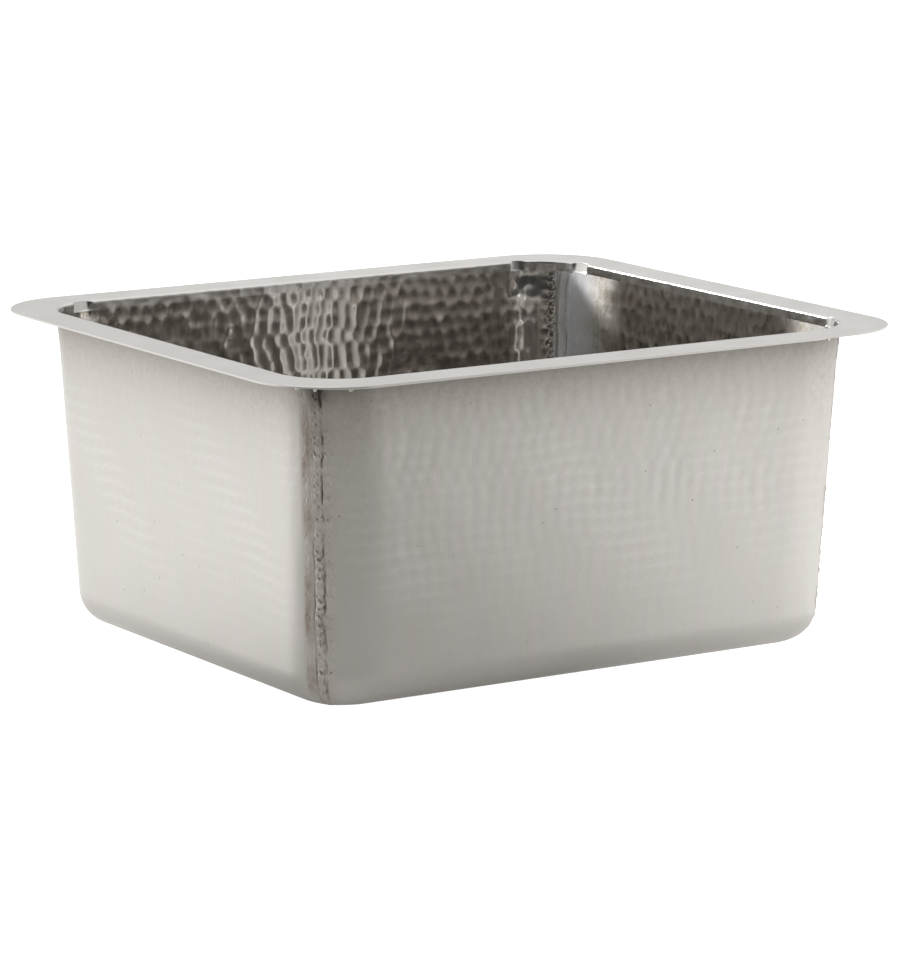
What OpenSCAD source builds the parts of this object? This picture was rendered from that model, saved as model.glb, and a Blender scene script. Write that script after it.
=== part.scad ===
// Undermount bar prep sink, folded from sheet and hammered, with its basket strainer.
// The origin is the centre of the bowl's opening in the rim's top face, and the bowl hangs below it.
// X runs along the sink, Y from front to back, and Z up.

/* [Sheet] */
// Thickness of the steel sheet of the bowl and the rim
sheet_t = 1.2; // [0.8:0.1:2]

/* [Rim] */
// Length of the rim over its outer edges
rim_l = 432; // [380:1:620]
// Width of the rim, front to back
rim_w = 381; // [340:1:480]
// Width of the flat flange from its outer edge to the opening
flange_w = 25; // [18:1:40]
// Corner radius of the flange's outer edge
flange_corner_r = 50; // [30:1:70]
// Outside radius of the roll from the flange into the bowl
roll_r = 3; // [2.5:0.5:5]
// Drop from the rim's top face to the joint with the bowl
lip_drop = 6.5; // [6:0.5:15]

/* [Bowl] */
// Height from the rim's top face to the underside of the floor
bowl_h = 195; // [140:1:260]
// Distance each wall leans in between the rim and the floor
wall_draw = 8; // [0:1:16]
// Inside radius of the bowl's upright corners
corner_r = 37.5; // [34:0.5:55]
// Outside radius of the bend between wall and floor
bend_r = 22; // [12:1:30]

/* [Corner seams] */
// Width of the welded and hammered-out band in each corner
seam_w = 22; // [10:1:26]
// Distance from the corner's middle to the band's middle, towards the end wall
seam_shift = 3; // [0:0.5:5]
// Height that the band stands proud of the bowl's outside
seam_proud = 0.4; // [0.2:0.1:1]
// Radius of the ball that each weld spot under the rim is part of
tack_r = 2.2; // [1.5:0.1:3]
// Height that each weld spot stands proud of the bowl's outside
tack_proud = 1; // [0.5:0.1:1.5]

/* [Drain] */
// Distance from the foot of the back wall's inside to the drain's centre
drain_setback = 86; // [84:1:120]
// Diameter of the hole through the floor
drain_hole_d = 89; // [88:0.5:92]
// Diameter of the strainer's flange
strainer_flange_d = 114; // [110:1:116]
// Thickness of the strainer's flange
strainer_flange_t = 1.5; // [1:0.1:2.5]
// Thickness of the seal under the flange
gasket_t = 1.5; // [1:0.1:3]
// Diameter over the cup's thread
cup_d = 85; // [84:0.5:86.5]
// Wall of the cup
cup_wall = 2; // [1.5:0.1:2.5]
// Depth from the flange's top face to the stopper's seat
cup_depth = 35; // [34:0.5:60]
// Diameter over the outlet's thread
outlet_d = 47.8; // [44:0.1:50]
// Bore of the outlet
outlet_bore_d = 39; // [34:0.5:40]
// Length of the outlet's thread
outlet_l = 12.5; // [10:0.5:30]

/* [Nut and washers] */
// Thickness of the rubber washer under the floor
floor_washer_t = 3; // [2:0.5:4]
// Diameter of the rubber washer
floor_washer_d = 108; // [104:1:116]
// Thickness of the fibre ring
friction_ring_t = 1; // [0.8:0.1:1.5]
// Diameter of the fibre ring
friction_ring_d = 105; // [102:1:112]
// Height of the lock nut
lock_nut_h = 9; // [7:0.5:10]
// Diameter of the lock nut under its lugs
lock_nut_d = 97; // [94:0.5:100]
// Number of spanner lugs on the lock nut
lock_nut_lugs = 8; // [4:1:12]

/* [Basket] */
// Depth from the flange's top face to the underside of the basket
basket_depth = 20; // [18:0.5:20.5]
// Thickness of the basket's sheet
basket_t = 0.8; // [0.6:0.1:1]
// Diameter of the holes in the basket's floor
basket_hole_d = 4; // [3:0.5:5]
// Width of the slots in the basket's wall
basket_slot_w = 3; // [2:0.5:4]

/* [Stopper] */
// Diameter of the stem
stem_d = 6; // [5:0.5:7]
// Distance that the stopper rises to open the outlet
stopper_travel = 8; // [5:0.5:8]
// Diameter of the rubber seal
seal_d = 48; // [44:0.5:50]
// Thickness of the rubber seal
seal_t = 3.5; // [3:0.1:3.8]
// Thickness of the steel plate over the seal
seal_plate_t = 1; // [0.8:0.1:1.2]
// Diameter of the knob
knob_d = 24; // [18:1:30]
// Height of the knob's head
knob_h = 8.5; // [7:0.5:9]

/* [Hidden] */

// Fineness of circles on the smooth hulled bowl, of the weld spots' facets, and of the true
// circles elsewhere
form_fn = 48;
weld_fn = 12;
$fn = 96;
// Overshoot of a cutter past the face it cuts
cut = 1;

// Opening and bowl, as half sizes from the centre
open_x = rim_l / 2 - flange_w;
open_y = rim_w / 2 - flange_w;
outer_corner_r = corner_r + sheet_t;
floor_top = sheet_t - bowl_h;
// Centre of the upright corner at the rim and at the foot
corner_top_x = open_x - corner_r;
corner_top_y = open_y - corner_r;
corner_foot_x = corner_top_x - wall_draw;
corner_foot_y = corner_top_y - wall_draw;

// Weld spots round each corner, in degrees from the end wall
tack_angles = [2, 23, 40, 70];

// Drain: the flange lies flush in a shallow recess pressed into the floor
drain_y = open_y - wall_draw - drain_setback;
recess_d = gasket_t + strainer_flange_t;
recess_gap = 1.5;
recess_r = strainer_flange_d / 2 + recess_gap;
// The recess's side slopes at 45 degrees, and this shift keeps the sheet's thickness there
recess_slope_shift = sheet_t * tan(22.5);
recess_skirt_r = recess_r + recess_slope_shift;
recess_skirt_h = recess_d + sheet_t / 2;
gasket_inset = 1;

// Cup, with heights measured down from the flange's top face
cup_bore_r = cup_d / 2 - cup_wall;
mouth_w = 3.5;
mouth_h = 2.7;
mouth_dip = 1.3;
mouth_r = cup_bore_r + mouth_w;
flange_flat_w = 7;
flange_flat_r = strainer_flange_d / 2 - flange_flat_w;
flange_edge = 0.5;
cup_floor_t = 2.3;
cup_floor_rise = 4.5;
seat_land = 2;
seat_r = seal_d / 2 + seat_land;
cup_side_h = cup_depth - cup_floor_rise;
outlet_shoulder_w = 2;
outlet_end = cup_depth + cup_floor_t + outlet_l;

// Stack under the floor
floor_washer_top = recess_d + sheet_t;
friction_ring_top = floor_washer_top + floor_washer_t;
lock_nut_top = friction_ring_top + friction_ring_t;
washer_gap = 0.5;
thread_gap = 0.1;
lug_w = 9;
lug_root = 2;
lug_reach = 4;

// Basket, seated on the mouth's slope
seat_gap = 0.3;
basket_gap = 1.2;
basket_r = cup_bore_r - basket_gap;
basket_lean = 1.5;
basket_bend_r = 4;
mouth_slope = mouth_h / mouth_w;
basket_shoulder_z = mouth_dip + (mouth_r - basket_r) * mouth_slope - seat_gap;
basket_rim_reach = 3.2;
basket_floor_r = basket_r - basket_lean - basket_bend_r;
hole_rings = 3;
hole_ring_first = 13.5;
hole_pitch = 9;
slot_count = 16;
slot_rise = 1.5;
slot_low = basket_bend_r + slot_rise;
slot_h = 7;

// Bush in the basket's floor, stem and stopper, which is shown closed
stem_r = stem_d / 2;
stem_gap = 0.05;
bush_wall = 3;
bush_bore_r = stem_r + stem_gap;
bush_neck_r = stem_r + bush_wall;
bush_flange_w = 2.5;
bush_flange_r = bush_neck_r + bush_flange_w;
bush_top_t = 1.5;
part_gap = 0.1;
ring_r = 0.9;
seal_low = cup_depth - seat_gap;
seal_top = seal_low - seal_t;
plate_top = seal_top - seal_plate_t;
plate_inset = 6;
bush_low = plate_top - stopper_travel - seat_gap;
ring_z = (basket_depth - basket_t - bush_top_t + bush_low) / 2;
stem_step = 0.5;
stem_tip_r = stem_r - stem_step;
tip_hole_r = stem_tip_r + part_gap;
stem_nut_h = 4;
nut_flat_d = 8;
nut_washer_t = 0.8;
nut_washer_w = 2.5;
stem_nut_top = seal_low + nut_washer_t;
stem_tip_reach = 1;
stem_low = stem_nut_top + stem_nut_h + stem_tip_reach;
knob_top = 0.8;
knob_head_low = knob_top + knob_h;
knob_stalk_wall = 2;
knob_stalk_r = stem_r + knob_stalk_wall;
knob_stalk_low = knob_head_low + 4.5;
knob_edge_r = knob_h / 4;
knob_crown = 0.85;
knob_neck_r = knob_h / 3;
stem_in_knob = 5.5;
stem_top = knob_head_low - stem_in_knob;

// Points on an arc, from one angle to the other
function arc(centre, r, from, to, steps) =
    [for (k = [0 : steps]) let (a = from + (to - from) * k / steps) centre + r * [cos(a), sin(a)]];

module rounded_rect(half_x, half_y, r) {
    square([2 * half_x, 2 * (half_y - r)], center = true);
    square([2 * (half_x - r), 2 * half_y], center = true);
    for (sx = [-1, 1], sy = [-1, 1])
        translate([sx * (half_x - r), sy * (half_y - r)]) circle(r);
}

// What is drawn at the back right corner, mirrored to the corner named by 0 or 1 each way
module at_corner(left, front) {
    mirror([left, 0, 0]) mirror([0, front, 0]) children();
}

// The same at all four corners
module each_corner() {
    for (left = [0, 1], front = [0, 1]) at_corner(left, front) children();
}

// Rounded foot corner of the bowl, as the bend turned through an angle
module foot_corner(corner, bend, sweep) {
    rotate_extrude(angle = sweep, $fn = form_fn)
        intersection() {
            translate([corner - bend, 0]) circle(bend, $fn = form_fn);
            translate([0, -bend]) square([corner, bend]);
        }
}

// Top and foot of one corner of the bowl's outside, drawn in by inset: upright at the lip, and
// leaning in down to the foot
module bowl_corner(inset, sweep) {
    r = outer_corner_r - inset;
    turn = 45 - sweep / 2;
    translate([corner_top_x, corner_top_y, -lip_drop])
        rotate(turn) rotate_extrude(angle = sweep, $fn = form_fn) square([r, cut]);
    translate([corner_foot_x, corner_foot_y, bend_r - bowl_h])
        rotate(turn) foot_corner(r, bend_r - inset, sweep);
}

// The bowl's outside as a solid, drawn in by inset
module bowl_form(inset) {
    hull() each_corner() bowl_corner(inset, 90);
}

// Everything above the joint between lip and bowl
module above_joint() {
    translate([-rim_l, -rim_w, -lip_drop]) cube([2 * rim_l, 2 * rim_w, lip_drop + cut]);
}

// Band across a corner, from the flat floor's corner outwards
module seam_band() {
    start = outer_corner_r - bend_r;
    translate([corner_foot_x, corner_foot_y, -bowl_h - cut])
        rotate(45)
            translate([start, -seam_shift, 0]) {
                cylinder(d = seam_w, h = bowl_h);
                translate([0, -seam_w / 2, 0]) cube([rim_w / 2, seam_w, bowl_h]);
            }
}

module at_drain() {
    translate([0, drain_y, floor_top]) children();
}

// Revolved ring about the drain's axis, from depth top to depth low
module drain_ring(outer_r, inner_r, top, low) {
    at_drain()
        translate([0, 0, -low])
            difference() {
                cylinder(r = outer_r, h = low - top);
                translate([0, 0, -cut]) cylinder(r = inner_r, h = low - top + 2 * cut);
            }
}

// Floor and walls folded up from one sheet, with the drain's recess pressed in and the hole cut
module bowl_shell() {
    color("#b9b6b1")
        difference() {
            union() {
                bowl_form(0);
                at_drain()
                    translate([0, 0, -recess_d - sheet_t])
                        cylinder(h = recess_skirt_h, r1 = recess_skirt_r,
                            r2 = recess_skirt_r + recess_skirt_h);
            }
            bowl_form(sheet_t);
            at_drain() {
                translate([0, 0, -recess_d])
                    cylinder(h = recess_d + cut, r1 = recess_r, r2 = recess_r + recess_d + cut);
                translate([0, 0, -recess_d - sheet_t - cut])
                    cylinder(d = drain_hole_d, h = sheet_t + 2 * cut);
            }
            each_corner() seam_band();
            above_joint();
        }
}

// Weld-filled corner of the bowl, hammered out a little proud. The inside goes the whole way round,
// so that it also clears the flat back of the outside
module corner_seam() {
    color("#96908a")
        intersection() {
            difference() {
                hull() bowl_corner(-seam_proud, 180);
                hull() bowl_corner(sheet_t, 360);
                above_joint();
            }
            seam_band();
        }
}

module corner_seam_front_left() {
    at_corner(1, 1) corner_seam();
}

module corner_seam_front_right() {
    at_corner(0, 1) corner_seam();
}

module corner_seam_back_left() {
    at_corner(1, 0) corner_seam();
}

module corner_seam_back_right() {
    at_corner(0, 0) corner_seam();
}

// Section of the lip: flange, quarter roll and short drop, outwards from the opening's face
module lip_profile() {
    translate([0, -lip_drop]) square([sheet_t, lip_drop - roll_r]);
    intersection() {
        translate([roll_r, -roll_r])
            difference() {
                circle(roll_r);
                circle(roll_r - sheet_t);
            }
        translate([0, -roll_r]) square(roll_r);
    }
    translate([roll_r, -sheet_t]) square([cut, sheet_t]);
}

module rim_flange() {
    color("#d8d7d4") {
        translate([0, 0, -sheet_t])
            linear_extrude(sheet_t)
                difference() {
                    rounded_rect(rim_l / 2, rim_w / 2, flange_corner_r);
                    rounded_rect(open_x + roll_r, open_y + roll_r, corner_r + roll_r);
                }
        for (side = [0, 1])
            mirror([0, side, 0])
                translate([0, open_y, 0])
                    rotate([90, 0, 90]) linear_extrude(2 * corner_top_x, center = true) lip_profile();
        for (side = [0, 1])
            mirror([side, 0, 0])
                translate([open_x, 0, 0])
                    rotate([90, 0, 0]) linear_extrude(2 * corner_top_y, center = true) lip_profile();
        each_corner()
            translate([corner_top_x, corner_top_y, 0])
                rotate_extrude(angle = 90) translate([corner_r, 0]) lip_profile();
    }
}

// Weld spot, out along X from the corner's centre, and flat where it meets the lip and the seam
module weld_spot() {
    side = 2 * (tack_r + cut);
    difference() {
        translate([outer_corner_r + tack_proud - tack_r, 0, 0]) sphere(tack_r, $fn = weld_fn);
        translate([0, -side / 2, -side / 2]) cube([outer_corner_r, side, side]);
        translate([0, -side / 2, -side / 2]) cube([outer_corner_r + seam_proud, side, side / 2]);
    }
}

// Weld spots left under the rim, at angles round each corner from the end wall
module rim_tack_welds() {
    color("#e6e4df")
        each_corner()
            translate([corner_top_x, corner_top_y, -lip_drop])
                for (spot = tack_angles) rotate(spot) weld_spot();
}

// Flange, mouth, threaded cup and threaded outlet, turned as one piece
module strainer_body() {
    color("#cfd1d2")
        at_drain()
            rotate_extrude()
                polygon([
                    [outlet_bore_d / 2, -outlet_end], [outlet_bore_d / 2, -cup_depth], [seat_r, -cup_depth],
                    [cup_bore_r, -cup_side_h], [cup_bore_r, -mouth_dip - mouth_h], [mouth_r, -mouth_dip],
                    [flange_flat_r, 0], [strainer_flange_d / 2 - flange_edge, 0],
                    [strainer_flange_d / 2, -flange_edge],
                    [strainer_flange_d / 2, -strainer_flange_t],
                    [flange_flat_r, -strainer_flange_t], [mouth_r, -mouth_dip - strainer_flange_t],
                    [cup_d / 2, -mouth_dip - strainer_flange_t - mouth_slope * cup_wall],
                    [cup_d / 2, -cup_side_h],
                    [outlet_d / 2 + outlet_shoulder_w, -cup_depth - cup_floor_t],
                    [outlet_d / 2, -cup_depth - cup_floor_t], [outlet_d / 2, -outlet_end]
                ]);
}

module flange_gasket() {
    color("#3c3b39")
        drain_ring(strainer_flange_d / 2 - gasket_inset, flange_flat_r, strainer_flange_t,
            recess_d);
}

module floor_washer() {
    color("#2b2b2c")
        drain_ring(floor_washer_d / 2, cup_d / 2 + washer_gap, floor_washer_top,
            floor_washer_top + floor_washer_t);
}

module friction_ring() {
    color("#a98f66")
        drain_ring(friction_ring_d / 2, cup_d / 2 + washer_gap, friction_ring_top,
            friction_ring_top + friction_ring_t);
}

module lock_nut() {
    color("#b79655")
        at_drain()
            translate([0, 0, -lock_nut_top - lock_nut_h])
                linear_extrude(lock_nut_h)
                    difference() {
                        union() {
                            circle(d = lock_nut_d);
                            for (k = [0 : lock_nut_lugs - 1])
                                rotate(360 * (k + 0.5) / lock_nut_lugs)
                                    translate([lock_nut_d / 2 - lug_root, -lug_w / 2])
                                        square([lug_root + lug_reach, lug_w]);
                        }
                        circle(cup_d / 2 + thread_gap);
                    }
}

// Section of the basket's sheet: rolled rim, slope on the mouth, leaning wall, bend and floor
module basket_section() {
    bend_centre = [basket_floor_r, basket_bend_r - basket_depth];
    slope = atan(mouth_slope);
    along = [cos(slope), sin(slope)];
    across = [-sin(slope), cos(slope)];
    shoulder = [basket_r, -basket_shoulder_z];
    bead = shoulder + basket_rim_reach / cos(slope) * along + basket_t * across;
    hole_r = bush_neck_r + part_gap;
    polygon(concat(
        [shoulder],
        arc(bend_centre, basket_bend_r, 0, -90, 6),
        [[hole_r, -basket_depth], [hole_r, basket_t - basket_depth]],
        arc(bend_centre, basket_bend_r - basket_t, -90, 0, 6),
        [shoulder + [-basket_t, basket_t / 2]],
        arc(bead, basket_t, slope + 180, slope - 90, 12)
    ));
}

// Lift-out basket, with rings of holes in its floor and upright slots in its wall
module strainer_basket() {
    color("#c4c6c8")
        at_drain()
            difference() {
                rotate_extrude() basket_section();
                for (ring = [0 : hole_rings - 1]) {
                    ring_radius = hole_ring_first + ring * hole_pitch;
                    count = floor(2 * PI * ring_radius / hole_pitch);
                    for (k = [0 : count - 1])
                        rotate(360 * (k + 0.5) / count)
                            translate([ring_radius, 0, -basket_depth - cut])
                                cylinder(d = basket_hole_d, h = basket_t + 2 * cut, $fn = 24);
                }
                for (k = [0 : slot_count - 1])
                    rotate(360 * (k + 0.5) / slot_count)
                        translate([basket_r - basket_lean - basket_t - cut, -basket_slot_w / 2,
                            slot_low - basket_depth])
                            cube([basket_lean + basket_t + 2 * cut, basket_slot_w, slot_h]);
            }
}

// Plastic guide clipped through the basket's floor, with a groove for the grip ring
module stem_bush() {
    color("#e4e2dc")
        at_drain()
            rotate_extrude()
                difference() {
                    union() {
                        translate([bush_bore_r, -bush_low])
                            square([bush_flange_r - bush_bore_r, bush_low - basket_depth]);
                        translate([bush_bore_r, -basket_depth])
                            square([bush_neck_r - bush_bore_r, basket_t]);
                        translate([bush_bore_r, basket_t - basket_depth])
                            square([bush_flange_r - bush_bore_r, bush_top_t]);
                    }
                    translate([bush_bore_r - cut, -ring_z - ring_r])
                        square([2 * ring_r + cut, 2 * ring_r]);
                }
}

module stem_grip_ring() {
    color("#222222")
        at_drain()
            translate([0, 0, -ring_z])
                rotate_extrude() translate([bush_bore_r + ring_r, 0]) circle(ring_r);
}

// Rod with a thinner lower end, whose step carries the seal plate
module stopper_stem() {
    color("#c9cbcc")
        at_drain() {
            translate([0, 0, -plate_top]) cylinder(d = stem_d, h = plate_top - stem_top);
            translate([0, 0, -stem_low]) cylinder(r = stem_tip_r, h = stem_low - plate_top);
        }
}

// Turned knob with a domed head and a short stalk, bored for the stem
module stopper_knob() {
    edge = [knob_d / 2 - knob_edge_r, -knob_top - knob_crown - knob_edge_r];
    neck = [knob_stalk_r + knob_neck_r, -knob_head_low - knob_neck_r / 2];
    color("#d3d4d5")
        at_drain()
            rotate_extrude()
                difference() {
                    polygon(concat(
                        [[0, -knob_top]],
                        arc(edge, knob_edge_r, 80, -60, 8),
                        arc(neck, knob_neck_r, 100, 180, 6),
                        [[knob_stalk_r, -knob_stalk_low], [0, -knob_stalk_low]]
                    ));
                    translate([-cut, -knob_stalk_low - cut])
                        square([bush_bore_r + cut, knob_stalk_low - stem_top + cut]);
                }
}

module seal_plate() {
    color("#c4c6c8") drain_ring(seal_d / 2 - plate_inset, tip_hole_r, plate_top, seal_top);
}

module stopper_seal() {
    color("#262626") drain_ring(seal_d / 2, tip_hole_r, seal_top, seal_low);
}

module nut_washer() {
    color("#c4c6c8")
        drain_ring(nut_flat_d / 2 + nut_washer_w, tip_hole_r, seal_low, stem_nut_top);
}

module stem_nut() {
    color("#b98f4a")
        at_drain()
            translate([0, 0, -stem_nut_top - stem_nut_h])
                difference() {
                    cylinder(d = nut_flat_d / cos(30), h = stem_nut_h, $fn = 6);
                    translate([0, 0, -cut]) cylinder(r = tip_hole_r, h = stem_nut_h + 2 * cut);
                }
}

bowl_shell();
corner_seam_front_left();
corner_seam_front_right();
corner_seam_back_left();
corner_seam_back_right();
rim_flange();
rim_tack_welds();
strainer_body();
flange_gasket();
floor_washer();
friction_ring();
lock_nut();
strainer_basket();
stem_bush();
stem_grip_ring();
stopper_stem();
stopper_knob();
seal_plate();
stopper_seal();
nut_washer();
stem_nut();
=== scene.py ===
"""Undermount bar prep sink in hammered stainless steel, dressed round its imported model.

Shapes are worked out in millimetres in the model's own frame: the origin is the centre of the bowl's
opening in the rim's top face, X runs along the sink, Y from front to back, and Z up.
"""

import bpy
import numpy as np
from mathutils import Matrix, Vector


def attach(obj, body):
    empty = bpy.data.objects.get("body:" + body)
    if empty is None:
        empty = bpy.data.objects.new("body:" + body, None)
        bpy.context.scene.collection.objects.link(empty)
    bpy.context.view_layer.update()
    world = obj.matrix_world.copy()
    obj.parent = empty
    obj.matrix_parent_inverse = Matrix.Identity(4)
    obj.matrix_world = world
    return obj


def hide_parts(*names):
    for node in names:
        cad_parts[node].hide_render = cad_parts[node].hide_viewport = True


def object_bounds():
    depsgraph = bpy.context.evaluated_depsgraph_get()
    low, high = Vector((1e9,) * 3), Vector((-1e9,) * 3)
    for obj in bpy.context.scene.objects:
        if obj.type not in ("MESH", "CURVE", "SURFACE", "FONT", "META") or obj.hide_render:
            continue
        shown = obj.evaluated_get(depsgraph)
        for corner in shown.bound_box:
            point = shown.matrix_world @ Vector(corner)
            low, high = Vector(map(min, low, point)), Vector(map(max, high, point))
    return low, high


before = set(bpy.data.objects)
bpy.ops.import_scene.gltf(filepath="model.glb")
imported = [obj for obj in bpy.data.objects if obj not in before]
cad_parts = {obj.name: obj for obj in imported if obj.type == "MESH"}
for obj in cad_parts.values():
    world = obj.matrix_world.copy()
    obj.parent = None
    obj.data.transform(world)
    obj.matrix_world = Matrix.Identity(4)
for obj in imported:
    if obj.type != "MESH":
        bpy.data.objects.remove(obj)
cad_low, cad_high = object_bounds()

# Camera. A long lens 2.94 m away, 32 degrees round to the left of the front wall and 11 degrees above
# the rim. The small shifts are the photograph's own framing.
azimuth = np.radians(-32.43)
elevation = np.radians(10.826)
distance = 2.940
aim = Vector((0, 0, -0.0976))
level = np.cos(elevation)
back = Vector((np.sin(azimuth) * level, -np.cos(azimuth) * level, np.sin(elevation)))
camera = bpy.data.objects.new("camera", bpy.data.cameras.new("camera"))
camera.data.sensor_width = 36
camera.data.lens = 181.1
camera.data.shift_x = 0.0053
camera.data.shift_y = -0.0068
camera.data.clip_end = 60
camera.location = aim + back * distance
camera.rotation_euler = (-back).to_track_quat("-Z", "Y").to_euler()
bpy.context.scene.collection.objects.link(camera)
bpy.context.scene.camera = camera

# Bowl walls. Floor and walls are one sheet of stainless steel, folded up and hammered cold all over
# from the inside. The inside is then polished bright, and the outside is left satin, with the marks
# showing faintly through the sheet.
MM = 0.001
SHEET = 1.2
CORNER_R = 37.5
# Half sides of the rectangle of the corners' centres, the level where walls and rim meet, and how far the
# walls lean in.
CORE_X, CORE_Y = 153.5, 128.0
JOINT_Z = -6.5
DRAFT = 8.0
BEND_R = 20.8
FLOOR_Z = -193.8
# Travel round the opening where each wall and each corner starts, and the part of a corner that its seam
# takes up, from the side wall's end.
QUARTER = CORNER_R * np.pi / 2
ROUND_KNOTS = np.cumsum(
    [0, CORE_Y, QUARTER, 2 * CORE_X, QUARTER, 2 * CORE_Y, QUARTER, 2 * CORE_X, QUARTER, CORE_Y]
)
ROUND = ROUND_KNOTS[-1]
SEAM_ANGLES = np.radians([23.3, 57.2])
# Spacing of a wall's points, and the border of each piece over which its marks run out.
GRID_STEP = 1.0
BORDER = 3.0


def round_the_bowl(travel):
    """Core point and outward angle after travelling so many millimetres round the rim from the middle of
    the right wall. The core is the rectangle of the corners' centres: along a wall the core point runs
    along its side at a fixed angle, and round a corner it stays while the angle turns a quarter."""
    x, y = CORE_X, CORE_Y
    travel = travel % ROUND
    core_x = np.interp(travel, ROUND_KNOTS, [x, x, x, -x, -x, -x, -x, x, x, x])
    core_y = np.interp(travel, ROUND_KNOTS, [0, y, y, y, y, -y, -y, -y, -y, 0])
    turn = np.interp(travel, ROUND_KNOTS, [0, 0, 90, 90, 180, 180, 270, 270, 360, 360])
    return core_x, core_y, np.radians(turn)


BEND_CENTRE = np.array([DRAFT + BEND_R, FLOOR_Z + BEND_R])
TO_JOINT = np.array([0, JOINT_Z]) - BEND_CENTRE
BEND_START = np.arctan2(TO_JOINT[1], TO_JOINT[0]) + np.arccos(BEND_R / np.hypot(*TO_JOINT))
STRAIGHT = np.sqrt(TO_JOINT @ TO_JOINT - BEND_R**2)
DOWN_END = STRAIGHT + BEND_R * (1.5 * np.pi - BEND_START)


def bowl_face(travel, down):
    """Points and unit normals of the bowl's inside face. Going down, the profile is a straight line that
    leans in by the draft and then an arc of the bend's radius, tangent to it, to the level floor. The
    lean draws in the core rectangle, and the bend draws in the corner's radius."""
    core_x, core_y, turn = round_the_bowl(travel)
    angle = BEND_START + np.maximum(down - STRAIGHT, 0) / BEND_R
    part = np.minimum(down / STRAIGHT, 1)
    start = BEND_CENTRE + BEND_R * np.array([np.cos(BEND_START), np.sin(BEND_START)])
    fall = (start[1] - JOINT_Z) * part
    on_bend = down > STRAIGHT
    inward = np.where(on_bend, BEND_CENTRE[0] + BEND_R * np.cos(angle), start[0] * part)
    height = np.where(on_bend, BEND_CENTRE[1] + BEND_R * np.sin(angle), JOINT_Z + fall)
    shift = np.minimum(inward, DRAFT)
    radius = CORNER_R - (inward - shift)
    out = np.stack([np.cos(turn), np.sin(turn), np.zeros_like(turn)], -1)
    up = np.array([0, 0, 1.0])
    point = out * radius[..., None]
    point[..., 0] += core_x * (1 - shift / CORE_X)
    point[..., 1] += core_y * (1 - shift / CORE_Y)
    point[..., 2] = height
    normal = out * np.cos(angle)[..., None] - up * np.sin(angle)[..., None]
    return point, normal


def corner_slack(travel, down):
    """Inward shift in millimetres by which the front and back walls run into their corners: the wall starts
    to turn 15 mm before the corner and catches up 15 mm inside it, so the shift grows with the cube of
    the distance on both sides of the corner's line, to length squared over six radii. It is gone at the
    corner's other end, at the rim and on the bend."""
    length = 15.0
    nearest = np.full_like(travel, -length)
    for k, start in enumerate(ROUND_KNOTS[1:8:2]):
        inside = travel % ROUND - start if k % 2 else start + QUARTER - travel % ROUND
        nearest = np.where(inside < QUARTER, np.maximum(nearest, inside), nearest)
    before = (np.clip(nearest, -length, 0) + length) ** 3
    after = length**3 - (length - np.clip(nearest, 0, length)) ** 3
    shift = (before + after) / (12 * length * CORNER_R) * (1 - smooth_step(nearest, length, QUARTER))
    below_rim = smooth_step(down, 0, 22)
    return shift * below_rim * (1 - smooth_step(down, STRAIGHT - 10, DOWN_END - 5))


def hammer_marks(along, down, columns, pitch, dish_r, seed):
    """Height of a hammered face above the bottom of its marks, in millimetres. Each mark is a shallow dish,
    height = distance squared over twice the dish's radius, and the face is the lowest of the dishes
    around, through a smooth minimum that rounds the ridges. The columns repeat after a whole number of
    marks, and each row and mark is moved by a small random share of the pitch."""
    rng = np.random.default_rng(seed)
    rows = 64
    mark_move, row_move = 0.16, 0.12
    depth_spread, roundness, upright_share = 0.3, 0.42, 0.82
    wide, high = pitch
    edge_height = wide**2 / (8 * dish_r)
    moves = rng.uniform(-mark_move, mark_move, (rows, columns, 2))
    depths = rng.uniform(0, depth_spread, (rows, columns)) * edge_height
    row_shift = rng.choice([0, 0.5], rows) + rng.uniform(-row_move, row_move, rows)
    row = np.floor(down / high).astype(int)
    total = np.zeros_like(down)
    rounding = roundness * edge_height
    for row_step in (-1, 0, 1):
        this_row = (row + row_step) % rows
        column = np.floor(along / wide - row_shift[this_row]).astype(int)
        for column_step in (-1, 0, 1):
            this_column = (column + column_step) % columns
            move = moves[this_row, this_column]
            across = along - (column + column_step + 0.5 + move[..., 0] + row_shift[this_row]) * wide
            upright = down - (row + row_step + 0.5 + move[..., 1]) * high
            squared = across**2 + (upright * upright_share) ** 2
            dish = squared / (2 * dish_r) + depths[this_row, this_column]
            total += np.exp(-dish / rounding)
    return -rounding * np.log(total)


def smooth_step(value, low, high):
    """0 below low, 1 above high, and 3t^2 - 2t^3 between, with t the share of the way."""
    t = np.clip((value - low) / (high - low), 0, 1)
    return t * t * (3 - 2 * t)


def ridge(across, centre, width):
    """Bell curve of the given half width round a centre line, 1 on the line."""
    return np.exp(-(((across - centre) / width) ** 2))


def waves(value, lengths, seed):
    """Sum of sines of the given wavelengths with random phases, between about -1 and 1."""
    phases = np.random.default_rng(seed).uniform(0, 2 * np.pi, len(lengths))
    parts = [np.sin(2 * np.pi * value / length + phase) for length, phase in zip(lengths, phases)]
    return sum(parts) / len(parts)


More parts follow.
